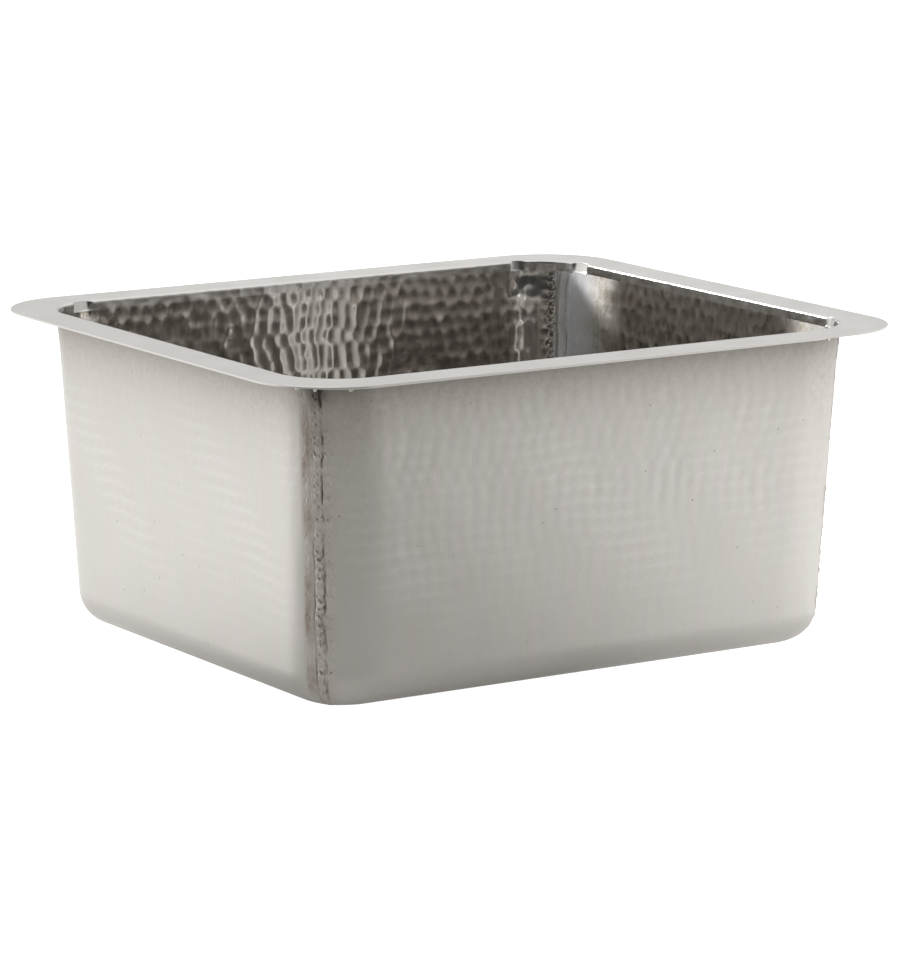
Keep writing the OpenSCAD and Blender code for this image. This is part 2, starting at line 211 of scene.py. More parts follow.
def make_piece(name, points, faces, material, record_slot, **attributes):
    """Mesh object from an array of points in millimetres and arrays of faces, one array for each count of
    corners. A closed piece's signed volume is positive when its faces point out, so a negative one
    turns them all round. Edges sharper than 40 degrees are kept crisp."""
    volume = 0
    for group in faces:
        for k in range(1, group.shape[1] - 1):
            a, b, c = points[group[:, 0]], points[group[:, k]], points[group[:, k + 1]]
            volume += np.einsum("ij,ij->", a, np.cross(b, c))
    if volume < 0:
        faces = [group[:, ::-1] for group in faces]
    counts = np.concatenate([np.full(len(group), group.shape[1]) for group in faces])
    corners = np.concatenate([group.ravel() for group in faces]).astype(np.int32)
    mesh = bpy.data.meshes.new(name)
    mesh.vertices.add(len(points))
    mesh.vertices.foreach_set("co", (points * MM).astype(np.float32).ravel())
    mesh.loops.add(len(corners))
    mesh.loops.foreach_set("vertex_index", corners)
    mesh.polygons.add(len(counts))
    mesh.polygons.foreach_set("loop_start", (np.cumsum(counts) - counts).astype(np.int32))
    mesh.polygons.foreach_set("use_smooth", np.ones(len(counts), bool))
    mesh.update(calc_edges=True)
    mesh.set_sharp_from_angle(angle=np.radians(40))
    for label, values in attributes.items():
        layer = mesh.attributes.new(label, "FLOAT", "POINT")
        layer.data.foreach_set("value", values.astype(np.float32).ravel())
    mesh.materials.append(material)
    piece = bpy.data.objects.new(name, mesh)
    bpy.context.scene.collection.objects.link(piece)
    return piece


def quads(grid):
    """Four-cornered faces of a grid of point numbers."""
    return np.stack([grid[:-1, :-1], grid[:-1, 1:], grid[1:, 1:], grid[1:, :-1]], -1).reshape(-1, 4)


def make_sheet(name, inner, outer, record_slot, ring=False, **finish):
    """Closed piece of hammered sheet from grids of its inner and outer points. The outer grid has the inner
    one's steps or half as many. Strips join the two round the free borders, and a ring closes where its
    last column meets its first. The finish gives values, or one value, for the inner points and for the
    outer ones. All of the inside is polished."""
    points = np.concatenate([inner.reshape(-1, 3), outer.reshape(-1, 3)])
    count = inner.size // 3
    inner = np.arange(count).reshape(inner.shape[:2])
    outer = np.arange(count, len(points)).reshape(outer.shape[:2])
    for label, (inside, outside) in dict(finish, polish=(1, 0)).items():
        parts = np.broadcast_to(inside, inner.shape), np.broadcast_to(outside, outer.shape)
        finish[label] = np.concatenate([part.ravel() for part in parts])
    if ring:
        inner = np.concatenate([inner, inner[:, :1]], 1)
        outer = np.concatenate([outer, outer[:, :1]], 1)
    borders = [(inner[0], outer[0], True), (inner[-1], outer[-1], False)]
    if not ring:
        borders += [(inner[:, 0], outer[:, 0], False), (inner[:, -1], outer[:, -1], True)]
    faces = [quads(inner), quads(outer)[:, ::-1]]
    for fine, coarse, turned in borders:
        step = (len(fine) - 1) // (len(coarse) - 1)
        along = [fine[k : len(fine) - step + k : step] for k in range(step)] + [fine[step::step]]
        strip = np.stack(along + [coarse[1:], coarse[:-1]], -1)
        faces.append(strip[:, ::-1] if turned else strip)
    return make_piece(name, points, faces, hammered_steel, record_slot, **finish)


def linear(code, alpha=1.0):
    """Linear RGBA of an sRGB hex colour."""
    channels = np.array([int(code[k : k + 2], 16) for k in (1, 3, 5)]) / 255
    values = np.where(channels <= 0.04045, channels / 12.92, ((channels + 0.055) / 1.055) ** 2.4)
    return (*values.tolist(), alpha)


def fill_inputs(node, inputs):
    """Fills a node's inputs by name or number. A node as a value stands for its first output in use."""
    for key, value in inputs.items():
        if isinstance(value, bpy.types.Node):
            value = next(socket for socket in value.outputs if socket.enabled)
        if isinstance(value, bpy.types.NodeSocket):
            node.id_data.links.new(value, node.inputs[key])
        else:
            node.inputs[key].default_value = value


def add_node(tree, kind, inputs=None, **settings):
    """Adds a node with its settings and inputs."""
    node = tree.nodes.new(kind)
    for key, value in settings.items():
        setattr(node, key, value)
    fill_inputs(node, inputs or {})
    return node


def new_material(name):
    """New material, its node tree and its Principled shader."""
    material = bpy.data.materials.new(name)
    material.use_nodes = True
    tree = material.node_tree
    shader = next(node for node in tree.nodes if node.type == "BSDF_PRINCIPLED")
    return material, tree, shader


# Hammered stainless steel, type 304: half polished inside, and satin outside, where the sheet's own
# blasted finish stays, a little cloudy, faintly streaked and finely pitted. Round the welds it is scoured
# darker, with brown tints from the heat, and inside the weld is ground matte. Painted shade darkens the
# seams' creases and pits and the walls just under the rim.


def cells_of(width):
    """Scale of a pattern whose cells are so many millimetres wide."""
    return 1 / (width * MM)


# Clouds are 45 mm wide, mottle 4 mm and polishing streaks 6 by 71 mm, and pits lie 13 mm apart. The
# blasted grain, really about 0.1 mm, is drawn 1.1 mm wide so that it shows.
hammered_steel, tree, shader = new_material("hammered_stainless_steel")
rgba = {"data_type": "RGBA"}
place = add_node(tree, "ShaderNodeTexCoord").outputs["Object"]
polish, scoured, tint, ground, crest, grime = [
    add_node(tree, "ShaderNodeAttribute", attribute_name=label).outputs["Fac"]
    for label in ("polish", "scoured", "heat_tint", "ground", "crest", "grime")
]
clouds, mottle, grain = [
    add_node(tree, "ShaderNodeTexNoise", {"Vector": place, "Scale": cells_of(width), **more})
    for width, more in (
        (45.45, {"Detail": 4.0, "Roughness": 0.6}),
        (3.846, {"Detail": 4.0, "Roughness": 0.65}),
        (1.111, {"Detail": 2.0}),
    )
]
streak_cells = (cells_of(5.88), cells_of(5.88), cells_of(71.4))
long_way = add_node(tree, "ShaderNodeMapping", {"Vector": place, "Scale": streak_cells})
streaks = add_node(tree, "ShaderNodeTexNoise", {"Vector": long_way, "Scale": 1.0, "Detail": 3.0})
satin, inside, bare, weld, tan = [
    add_node(tree, "ShaderNodeMix", {0: share, 6: linear(first), 7: linear(second)}, **rgba)
    for share, first, second in (
        (clouds, "#c5c2bd", "#d4d1cd"),
        (crest, "#c9c5c0", "#dad7d3"),
        (mottle, "#c2c3c5", "#f4f5f7"),
        (mottle, "#aea8a0", "#efebe5"),
        (polish, "#8a7462", "#8f846e"),
    )
]
streaked = {0: 0.05, 6: satin, 7: streaks.outputs["Color"]}
streaked = add_node(tree, "ShaderNodeMix", streaked, blend_type="SOFT_LIGHT", **rgba)
colour = add_node(tree, "ShaderNodeMix", {0: crest, 6: streaked, 7: linear("#f1efec")}, **rgba)
blotches = add_node(tree, "ShaderNodeMapRange", {0: mottle, 1: 0.35, 2: 0.65, 3: 0.3, 4: 0.85})
tinted = add_node(tree, "ShaderNodeMath", {0: tint, 1: blotches}, operation="MULTIPLY")
from_spot = add_node(tree, "ShaderNodeTexVoronoi", {"Vector": place, "Scale": cells_of(13.33)})
pits = add_node(tree, "ShaderNodeMapRange", {0: from_spot, 1: 0.03, 2: 0.05, 3: 0.6, 4: 0.0})
# The dark colour mixed in last is painted shade in the seams' creases and pits and under the rim, together
# with the sheet's own fine pits.
shade_and_pits = add_node(tree, "ShaderNodeMath", {0: grime, 1: pits}, operation="MAXIMUM")
for share, over in (
    (polish, inside), (ground, bare), (scoured, weld), (tinted, tan), (shade_and_pits, linear("#4a443e"))
):
    colour = add_node(tree, "ShaderNodeMix", {0: share, 6: colour, 7: over}, **rgba)
rough, weld_rough, bright_rough = [
    add_node(tree, "ShaderNodeMapRange", {0: pattern, 1: 0.3, 2: 0.7, 3: low, 4: high})
    for pattern, low, high in ((clouds, 0.27, 0.35), (mottle, 0.3, 0.42), (streaks, 0.09, 0.15))
]
for share, over in ((polish, bright_rough), (ground, 0.85), (scoured, weld_rough)):
    rough = add_node(tree, "ShaderNodeMix", {0: share, 2: rough, 3: over})
strength = add_node(tree, "ShaderNodeMapRange", {0: polish, 3: 0.16, 4: 0.02})
bump = add_node(tree, "ShaderNodeBump", {"Strength": strength, "Distance": 0.0004, "Height": grain})
fill_inputs(shader, {"Base Color": colour, "Roughness": rough, "Normal": bump})
shader.inputs["Metallic"].default_value = 1.0

# The hammer's face is a dome of 55 mm radius. Its marks stand in rows, and the ridges between them that
# rise past the crest heights are worn brighter. Inside, both ends of the side walls are ground matte.
COLUMNS = 142
MARK_PITCH = (ROUND / COLUMNS, 8.7)
MARK_R = 55.0
CREST_HEIGHTS = (0.07, 0.22)
GROUND_BAND = (8, 68)
TAN_LINE, TAN_WIDTH = 36, 23
OUTER_ROW_RISE, OUTER_ROW_CREST = 0.06, 0.18
corner_starts = ROUND_KNOTS[[1, 3, 5, 7]]
seam_spans = np.array([
    start + CORNER_R * (SEAM_ANGLES if k % 2 == 0 else np.pi / 2 - SEAM_ANGLES[::-1])
    for k, start in enumerate(corner_starts)
])
wall_spans = {
    "wall_right": (seam_spans[3, 1] - ROUND, seam_spans[0, 0]),
    "wall_back": (seam_spans[0, 1], seam_spans[1, 0]),
    "wall_left": (seam_spans[1, 1], seam_spans[2, 0]),
    "wall_front": (seam_spans[2, 1], seam_spans[3, 0]),
}


def wall_grid(span, across_steps, down_steps):
    """Grids of travel and depth over a span of the bowl."""
    return np.meshgrid(np.linspace(*span, across_steps + 1), np.linspace(0, DOWN_END, down_steps + 1))


def row_drift(travel):
    """Height by which the rows of marks wander along the bowl."""
    return 1.6 * waves(travel, (83, 131, 57), 11)


def dulled_by_rim(travel, down):
    """Share of dull, heat-hazed surface under the rim's weld: a bell curve down from the rim, whose width
    wanders round the bowl."""
    return 0.95 * np.exp(-((down / (22 + 7 * waves(travel, (37, 61, 150), 12))) ** 1.4))


def above_floor(down):
    """1 on the walls, running out to 0 over the last few millimetres of the bend."""
    return 1 - smooth_step(down, DOWN_END - 9, DOWN_END - 2)


def shade_under_rim(down):
    """Share of painted shade outside, where the rim's flange overhangs the walls: an exponential that falls
    away below the rim.
    """
    return 0.63 * np.exp(-down / 20)


for name, span in wall_spans.items():
    across_steps = 2 * int((span[1] - span[0]) / GRID_STEP / 2)
    down_steps = 2 * int(DOWN_END / GRID_STEP / 2)
    travel, down = wall_grid(span, across_steps, down_steps)
    drift = row_drift(travel)
    marks = hammer_marks(travel % ROUND, down + drift, COLUMNS, MARK_PITCH, MARK_R, 7)
    fade = smooth_step(DOWN_END - down, 0, BORDER)
    fade *= smooth_step(travel - span[0], 0, BORDER) * smooth_step(span[1] - travel, 0, BORDER)
    point, normal = bowl_face(travel, down)
    point += normal * corner_slack(travel, down)[..., None]
    inner = point + normal * (marks * fade)[..., None]
    # The sheet buckles softly between the marks. Outside, the marks show through in patches of the upper
    # part, and fine scalloped lines follow their rows.
    buckle = waves(travel, (97, 61, 173), 3) * waves(down, (140, 83), 4)
    show_through = 0.45 + 0.9 * waves(travel + down, (190, 117), 5) * waves(down - travel, (83, 131), 14)
    show_through = 0.16 + 0.73 * np.clip(show_through, 0.15, 1.1) * (1 - smooth_step(down, 60, 140))
    rows = (down + drift) / MARK_PITCH[1]
    scallop = (rows + 0.17 * np.abs(np.sin(np.pi * travel / 9.4 + 2.2 * np.floor(rows)))) % 1
    patches = np.clip(0.45 + 0.8 * waves(travel - down, (140, 87), 16), 0, 1)
    row_lines = ridge(scallop, 0.5, 0.14) * patches
    row_lines *= smooth_step(down, 12, 45) * (1 - smooth_step(down, 105, 170)) * fade
    thickness = SHEET - (marks * show_through - 0.12 * buckle) * fade + OUTER_ROW_RISE * row_lines
    outer = (point - normal * thickness[..., None])[::2, ::2]
    from_seam = np.minimum(travel - span[0], span[1] - travel)
    side_wall = name in ("wall_left", "wall_right")
    ground = 1 - smooth_step(from_seam + 3 * waves(down, (23, 37), 15), *GROUND_BAND)
    ground *= side_wall * above_floor(down)
    dulled_out = dulled_by_rim(travel, down)
    if not side_wall:
        dulled_out += 0.35 * (1 - smooth_step(from_seam, 0, 45)) * (1 - smooth_step(down, 20, 170))
    straw = side_wall * ridge(from_seam, TAN_LINE + 4 * waves(down, (19, 31), 13), TAN_WIDTH)
    dulled_out = np.clip(dulled_out, 0, 1)[::2, ::2]
    # Outside, the tops of the walls are darkened with painted shade under the rim's overhang.
    wall = make_sheet(
        name, inner, outer, "hammered_steel",
        crest=(smooth_step(marks, *CREST_HEIGHTS), OUTER_ROW_CREST * row_lines[::2, ::2]),
        ground=(ground, 0),
        scoured=(0, dulled_out),
        heat_tint=(straw, 0),
        grime=(0, shade_under_rim(down)[::2, ::2]),
    )
    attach(wall, "sink")
    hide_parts("bowl_shell")

# Bowl floor. The same sheet, level between the bends, with a round recess pressed in for the strainer's
# flange and the hole for the strainer cut through it.
DRAIN = np.array([0, 71.5])
HOLE_R = 44.5
RECESS_R = 58.5
RECESS_DEPTH = 3.0
floor_columns, floor_rows = 700, 106
travel = np.linspace(0, ROUND, floor_columns, endpoint=False)
edge, _ = bowl_face(travel, np.full_like(travel, DOWN_END))
spoke = edge[:, :2] - DRAIN
reach = np.hypot(spoke[:, 0], spoke[:, 1])
spoke /= reach[:, None]
recess_rows = np.array([HOLE_R, 50, 56, 57.6, 58.2, 58.7, 59.4, 60.4, 61.0, 61.6, 62.4])
plain_part = np.linspace(0, 1, floor_rows + 2 - len(recess_rows))[1:]
radius = np.concatenate([
    np.repeat(recess_rows[:, None], floor_columns, 1),
    recess_rows[-1] + plain_part[:, None] * (reach - recess_rows[-1]),
])
level = FLOOR_Z - RECESS_DEPTH * (1 - smooth_step(radius, RECESS_R - 0.5, RECESS_R + RECESS_DEPTH + 0.5))
plan = DRAIN + radius[..., None] * spoke
marks = hammer_marks(plan[..., 0] + 500, plan[..., 1] + 300, 200, (9.6, 9.0), MARK_R, 21)
fade = smooth_step(radius, recess_rows[-1], 66) * smooth_step(reach - radius, 0, BORDER)
inner = np.concatenate([plan, (level + marks * fade)[..., None]], -1)
outer_level = level - SHEET + 0.44 * marks * fade
outer = np.concatenate([plan, outer_level[..., None]], -1)[::2, ::2]
crest = (smooth_step(marks, *CREST_HEIGHTS), 0)
bowl_floor = make_sheet("bowl_floor", inner, outer, "hammered_steel", ring=True, crest=crest)
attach(bowl_floor, "sink")
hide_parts("bowl_shell")

# Corner seams. Each upright corner was closed with a run of weld, ground back and hammered out: a rough
# band of small facets with broken creases, darkened with painted shade, a chain of blisters down its
# middle and brown heat tint.
# Inside, two bright ridges and a chain of pits stand where the weld broke through.
SEAM_STEPS = (56, 400)
FACET_PITCH = (4.4, 6.4)
FACET_R = 22.0
SEAM_BORDER = 7


def blisters(down, spacing, seed):
    """Chain of round swellings along a line: a raised cosine whose phase wanders, from 0 to 1."""
    phase = down / spacing + 0.35 * waves(down, (3.1 * spacing, 5.3 * spacing, 9.7 * spacing), seed)
    return 0.5 + 0.5 * np.cos(2 * np.pi * phase)


seam_names = ("seam_back_right", "seam_back_left", "seam_front_left", "seam_front_right")
for k, (name, span) in enumerate(zip(seam_names, seam_spans)):
    travel, down = wall_grid(span, *SEAM_STEPS)
    side = 1 if k % 2 == 0 else -1
    # Across the seam, negative is towards the side wall. The weld's lines wander to and fro together.
    across = side * (travel - span.mean())
    border = smooth_step(travel - span[0], 0, SEAM_BORDER) * smooth_step(span[1] - travel, 0, SEAM_BORDER)
    fade = smooth_step(down, 0, 2.5) * smooth_step(DOWN_END - down, 0, BORDER) * border
    wander = 1.1 * waves(down, (23, 41, 71), 40 + k) + 0.35 * waves(down, (5.3, 8.9, 12.7), 44 + k)
    chain = -0.6 + 0.6 * wander + 0.7 * waves(down, (7.3, 11.9, 19), 100 + k)
    crease_line = 2.6 + 0.7 * wander
    thin_line = -3.2 + 0.5 * wander
    pit_line = 2.2 + 0.5 * wander
    # Shares along the seam: its lower and upper parts, its blisters, and how strongly the lines show.
    lower = smooth_step(down, 78, 100)
    upper = 1 - smooth_step(down, 150, 190)
    beads = blisters(down, 5.6, 50 + k)
    pits = blisters(down, 5.2, 50 + k)
    links = 0.3 + 0.7 * blisters(down, 31, 80 + k)
    uneven = np.clip(0.65 + 0.9 * waves(down, (13, 22, 37), 95 + k), 0.15, 1)
    broken = np.clip(0.45 + 0.9 * waves(down, (11, 17, 29, 67), 85 + k), 0.08, 1)
    facets = hammer_marks(travel % ROUND, down, SEAM_STEPS[1], FACET_PITCH, FACET_R, 31 + k)
    rough = waves(across + wander, (2.1, 3.3, 5.2), 110 + k)
    rough *= waves(down + 2 * wander, (3.1, 4.7, 7.9), 115 + k)
    point, normal = bowl_face(travel, down)
    point += normal * corner_slack(travel, down)[..., None]
    bright_ridges = ridge(across, -2.8 + 0.3 * wander, 0.7) + ridge(across, -8.2 + wander, 0.85)
    inside = 0.6 * bright_ridges
    inside -= 0.55 * ridge(across, pit_line, 1.5) * pits
    inside += 0.8 * facets - 0.1
    inner = point + normal * (inside * fade)[..., None]
    outside = 0.9 * facets + 0.3 * rough + 0.05 * waves(across + 0.5 * wander, (2.3, 3.7, 1.7), 70 + k)
    outside -= 0.4 * broken * ridge(across, crease_line, 0.75) * (0.4 + 0.6 * upper)
    outside -= 0.32 * ridge(across, thin_line, 0.5) * lower * links
    outside += 0.65 * uneven * ridge(across, chain, 1.35) * (0.25 + 0.75 * lower) * beads
    outside -= 0.22 * ridge(across, 6.5 + 1.2 * wander, 1.1) * blisters(down, 17, 90 + k)
    outer = point - normal * (SHEET + outside * fade)[..., None]
    # Finish: ground matte on the side wall's side inside, scoured outside, painted shade in the creases,
    # the pits and under the rim, and brown heat tint along the side wall's border. All of it runs out above
    # the floor.
    kept = above_floor(down)
    ground = 1 - smooth_step(across + 0.8 * wander, -1, 0.5)
    ground *= kept * (0.85 + 0.15 * waves(down, (17, 29, 53), 75 + k)) * (1 - 0.8 * bright_ridges)
    left_border = smooth_step(across + 10.6, 0, 1.8)
    beside = dulled_by_rim(travel, down) + 0.35 * (across > 0) * (1 - smooth_step(down, 20, 170))
    worn = left_border * border**0.4 * (0.5 + 0.5 * ridge(across, 0.5, 6))
    worn *= 1 - 0.55 * smooth_step(down, 105, 160)
    worn = np.clip(np.maximum(worn, beside) * kept, 0, 1)
    # Painted shade outside: darker along the creases and the thin line, beside the blisters, in the hollows
    # of the rough band, in a line just under the rim and in the band below the rim.
    creases = ridge(across, crease_line, 0.7) * (0.3 + 0.7 * upper) * broken
    creases += 0.7 * ridge(across, thin_line, 0.5) * lower * links
    creases += 0.6 * uneven * ridge(across, chain + 2, 0.7) * lower * (1 - beads)
    creases += 0.35 * ridge(across, 1, 5) * (1 - smooth_step(down, 2, 16)) + shade_under_rim(down)
    creases += 0.9 * ridge(across, 0.5, 5) * np.clip(-rough - 0.08, 0, 1)
    # Painted shade inside: darker in the pits and along the line beside the ground band.
    creases_in = 0.6 * ridge(across, pit_line, 1.4) * pits
    creases_in += 0.5 * ridge(across, -1.4 + 0.3 * wander, 0.6)
    stains = np.clip(0.5 + 0.8 * waves(down, (47, 31, 90), 60 + k), 0, 1)
    heat = ridge(across, -7.4 + 1.6 * wander, 3.1) * stains
    stains = np.clip(0.2 + waves(down, (37, 59), 66 + k) + smooth_step(down, 140, 190), 0, 1)
    heat += 0.3 * ridge(across, 0, 8) * stains
    heat = np.clip(left_border * heat, 0, 1) * kept
    seam = make_sheet(
        name, inner, outer, "seam_steel",
        ground=(ground, 0),
        scoured=(0, worn),
        heat_tint=(0.3 * heat, heat),
        grime=(np.clip(creases_in * kept, 0, 1), np.clip(creases * kept, 0, 1)),
    )
    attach(seam, "sink")
    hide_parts("corner_" + name)

# Rim. A flat frame of the same sheet, cut with rounded corners and rolled down round its inner edge
# into the bowl. Its top is brushed satin, and the roll is rubbed bright, with small dents from the hammer.
# Its clouds are 33 mm wide, and its grain, really about 0.1 mm, is drawn 0.9 mm wide so that it shows.
satin_steel, tree, shader = new_material("brushed_satin_steel")
place = add_node(tree, "ShaderNodeTexCoord").outputs["Object"]
rubbed = add_node(tree, "ShaderNodeAttribute", attribute_name="rubbed").outputs["Fac"]
clouds, grain = [
    add_node(tree, "ShaderNodeTexNoise", {"Vector": place, "Scale": cells_of(width), "Detail": detail})
    for width, detail in ((33.33, 4.0), (0.909, 2.0))
]
colour = add_node(tree, "ShaderNodeMix", {0: clouds, 6: linear("#ccc9c5"), 7: linear("#d9d7d4")}, **rgba)
flat_rough = add_node(tree, "ShaderNodeMapRange", {0: clouds, 1: 0.3, 2: 0.7, 3: 0.34, 4: 0.44})
rough = add_node(tree, "ShaderNodeMix", {0: rubbed, 2: flat_rough, 3: 0.14})
bump = add_node(tree, "ShaderNodeBump", {"Strength": 0.12, "Distance": 0.0003, "Height": grain})
fill_inputs(shader, {"Base Color": colour, "Roughness": rough, "Normal": bump})
shader.inputs["Metallic"].default_value = 1.0

RIM_X, RIM_Y = 216.0, 190.5
RIM_R = 50.0
ROLL_R = 1.6
EDGE = 0.18
# Inward slope of the walls below the roll, and of the eight short lips, 7 mm inside the corners' ends,
# that were hammered flatter.
WALL_SLOPE, LIP_SLOPE = 0.043, 0.24
LIP_PLACE = 7
LIP_HALF_LENGTHS = (3.6, 6.4)


def loop_faces(rows, columns):
    """Quads of a grid that closes on itself both ways, with those that close its rows last."""
    grid = np.arange(rows * columns).reshape(rows, columns)
    return quads(np.pad(grid, ((0, 1), (0, 1)), "wrap"))


flange_w = RIM_X - CORE_X - CORNER_R - ROLL_R
arc = np.radians(np.linspace(180, 90, 9))
roll = [(ROLL_R + ROLL_R * np.cos(a), ROLL_R * np.sin(a) - ROLL_R, 0) for a in arc]
under_r = ROLL_R - SHEET
under = [(ROLL_R + under_r * np.cos(a), under_r * np.sin(a) - ROLL_R, 0) for a in arc[::-1]]
flat = [(ROLL_R, 0, part) for part in np.linspace(0, 1 - EDGE / flange_w, 13)[1:]]
flat_under = [(ROLL_R, -SHEET, part) for part in np.linspace(1 - EDGE / flange_w, 0, 7)[:-1]]
drop = [(0, z, 0) for z in np.linspace(JOINT_Z, -ROLL_R, 7)[:-1]]
drop_under = [(SHEET, z, 0) for z in np.linspace(-ROLL_R, JOINT_Z, 3)[1:]]
outer_edge = [(ROLL_R, -EDGE, 1), (ROLL_R, -SHEET + EDGE, 1)]
section = np.array(drop + roll + flat + outer_edge + flat_under + under + drop_under)
travel = np.linspace(0, ROUND, 1000, endpoint=False)
core_x, core_y, turn = round_the_bowl(travel)
out = np.stack([np.cos(turn), np.sin(turn)], -1)
core = np.stack([core_x, core_y], -1)
rim_core = core * np.array([(RIM_X - RIM_R) / CORE_X, (RIM_Y - RIM_R) / CORE_Y])
outline = rim_core + out * RIM_R
offset, height, part = section.T[:, :, None]
around, depth = np.broadcast_arrays(travel, JOINT_Z - height)
dent = hammer_marks(around, depth + row_drift(around), COLUMNS, MARK_PITCH, MARK_R, 7)
dent += 0.14 * waves(around, (31, 53, 17), 8) * smooth_step(height, -5, -2)
inner_face = np.arange(len(section)) < len(drop) + len(roll)
on_roll = inner_face * (1 - smooth_step(section[:, 1], -0.5, 0))
offset = offset - dent * on_roll[:, None] + WALL_SLOPE * (height - JOINT_Z) * inner_face[:, None]
lip_travel = np.concatenate([ROUND_KNOTS[1:9:2] + LIP_PLACE, ROUND_KNOTS[2:9:2] - LIP_PLACE])
to_lips = np.abs(travel[:, None] - lip_travel)
lip_half = np.random.default_rng(5).uniform(*LIP_HALF_LENGTHS, 8)[to_lips.argmin(1)]
upper_face = inner_face * (section[:, 1] > JOINT_Z)
flattened = (1 - smooth_step(to_lips.min(1) - lip_half, 0, 1.2)) * upper_face[:, None]
offset = offset + flattened * (np.maximum(LIP_SLOPE * (height - JOINT_Z), offset) - offset)
near = core + out * (CORNER_R + offset[..., None])
plan = near * (1 - part[..., None]) + outline * part[..., None]
sag = 0.12 * waves(travel, (211, 131, 307), 9) * (part + 0.2 * on_roll[:, None])
height = np.broadcast_to(height, sag.shape) + np.minimum(sag - 0.12, 0)
points = np.concatenate([plan, height[..., None]], -1).reshape(-1, 3)
worn = np.exp(-(((section[:, 0] - 0.4) / 0.9) ** 2)) * (section[:, 2] < 0.05) + 0.4 * (section[:, 2] == 1)
worn = np.repeat(np.clip(worn, 0, 1), len(travel))
rim = make_piece("rim", points, [loop_faces(*sag.shape)], satin_steel, "satin_steel", rubbed=worn)
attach(rim, "sink")
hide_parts("rim_flange")

# Weld spots. Small beads of weld left under the rim at the corners, four to a corner, each an uneven
# button of bare bright metal.


def plain_finish(name, record_slot, code, metallic, roughness, spread, width, bump, turned=False):
    """Material with a soft mottle, so many millimetres wide, in its colour, its roughness and its bump, and
    its slot. On a turned piece the mottle goes by the distance from the drain's axis and the height, and
    so draws fine rings."""
    material, tree, shader = new_material(name)
    place = add_node(tree, "ShaderNodeTexCoord").outputs["Object"]
    if turned:
        from_drain = {0: place, 1: (1.0, 1.0, 0.0), 2: (0.0, -DRAIN[1] * MM, 0.0)}
        level = add_node(tree, "ShaderNodeVectorMath", from_drain, operation="MULTIPLY_ADD")
        radius = add_node(tree, "ShaderNodeVectorMath", {0: level}, operation="LENGTH")
        height = add_node(tree, "ShaderNodeSeparateXYZ", {0: place}).outputs["Z"]
        place = add_node(tree, "ShaderNodeCombineXYZ", {0: radius, 2: height})
    size = cells_of(width)
    mottle = add_node(tree, "ShaderNodeTexNoise", {"Vector": place, "Scale": size, "Detail": 3.0})
    shade, rough = [
        add_node(tree, "ShaderNodeMapRange", {0: mottle, 1: 0.3, 2: 0.7, 3: low, 4: high})
        for low, high in ((1 - spread, 1.0), (roughness * 0.85, roughness * 1.15))
    ]
    base = {0: 1.0, 6: linear(code), 7: shade}
    colour = add_node(tree, "ShaderNodeMix", base, blend_type="MULTIPLY", **rgba)
    lumps = add_node(tree, "ShaderNodeBump", {"Strength": bump, "Distance": 0.0003, "Height": mottle})
    fill_inputs(shader, {"Base Color": colour, "Roughness": rough, "Normal": lumps})
    shader.inputs["Metallic"].default_value = metallic
    return material, record_slot


def capped_faces(rows, columns):
    """Faces of a grid whose rows close on themselves, with one point past its first row and one past its
    last, which come after the grid's own points."""
    ring = np.arange(columns)
    after = np.roll(ring, -1)
    tip = rows * columns
    first = np.stack([after, ring, np.full(columns, tip)], -1)
    last = np.stack([ring + tip - columns, after + tip - columns, np.full(columns, tip + 1)], -1)
    return [loop_faces(rows, columns)[:-columns], np.concatenate([first, last])]


SPOT_ANGLES = np.radians([2, 23, 40, 70])
# Least and most half size of a spot outward, along the rim and upright, and how deep it is sunk.
SPOT_OUT, SPOT_ALONG, SPOT_UP = (1.0, 1.35), (1.3, 2.1), (1.3, 1.9)
SPOT_SUNK = 0.45
spot_rows, spot_columns = 11, 22
rng = np.random.default_rng(17)
spots = []
for right, behind in ((1, 1), (-1, 1), (-1, -1), (1, -1)):
    for angle in SPOT_ANGLES:
        down = np.linspace(0, np.pi, spot_rows + 2)[1:-1, None]
        turn = np.linspace(0, 2 * np.pi, spot_columns, endpoint=False)
        uneven = 1 + 0.08 * np.sin(2 * turn + rng.uniform(0, 6)) * np.sin(down)
        uneven = uneven + 0.05 * np.sin(5 * down + turn)
        rise = np.append(np.cos(down) * uneven, [1, -1])
        along = np.append(np.sin(down) * np.cos(turn) * uneven, [0, 0])
        outward = np.append(np.sin(down) * np.sin(turn) * uneven, [0, 0])
        out = CORNER_R + SHEET - SPOT_SUNK + rng.uniform(*SPOT_OUT) * outward
        sideways = rng.uniform(*SPOT_ALONG) * along
        x = right * (CORE_X + out * np.cos(angle) - sideways * np.sin(angle))
        y = behind * (CORE_Y + out * np.sin(angle) + sideways * np.cos(angle))
        spots.append(np.stack([x, y, JOINT_Z + rng.uniform(*SPOT_UP) * rise], -1))
spots = np.array(spots)
# Two of the corners are mirror images of the other two, so their spots' faces are turned round.
mirrored = [4, 5, 6, 7, 12, 13, 14, 15]
faces = []
for group in capped_faces(spot_rows, spot_columns):
    copies = group + np.arange(len(spots))[:, None, None] * spots.shape[1]
    copies[mirrored] = copies[mirrored, :, ::-1]
    faces.append(copies.reshape(-1, group.shape[1]))
weld_metal = plain_finish("weld_metal", "weld_metal", "#dad6cf", 1.0, 0.22, 0.12, 2.0, 0.3)
weld_spots = make_piece("weld_spots", spots.reshape(-1, 3), faces, *weld_metal)
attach(weld_spots, "sink")
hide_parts("rim_tack_welds")

# Strainer body. Flange, cup and outlet are one piece of stainless steel, spun, turned and polished, with
# one thread rolled round the cup for the lock nut and another round the outlet for the waste pipe.


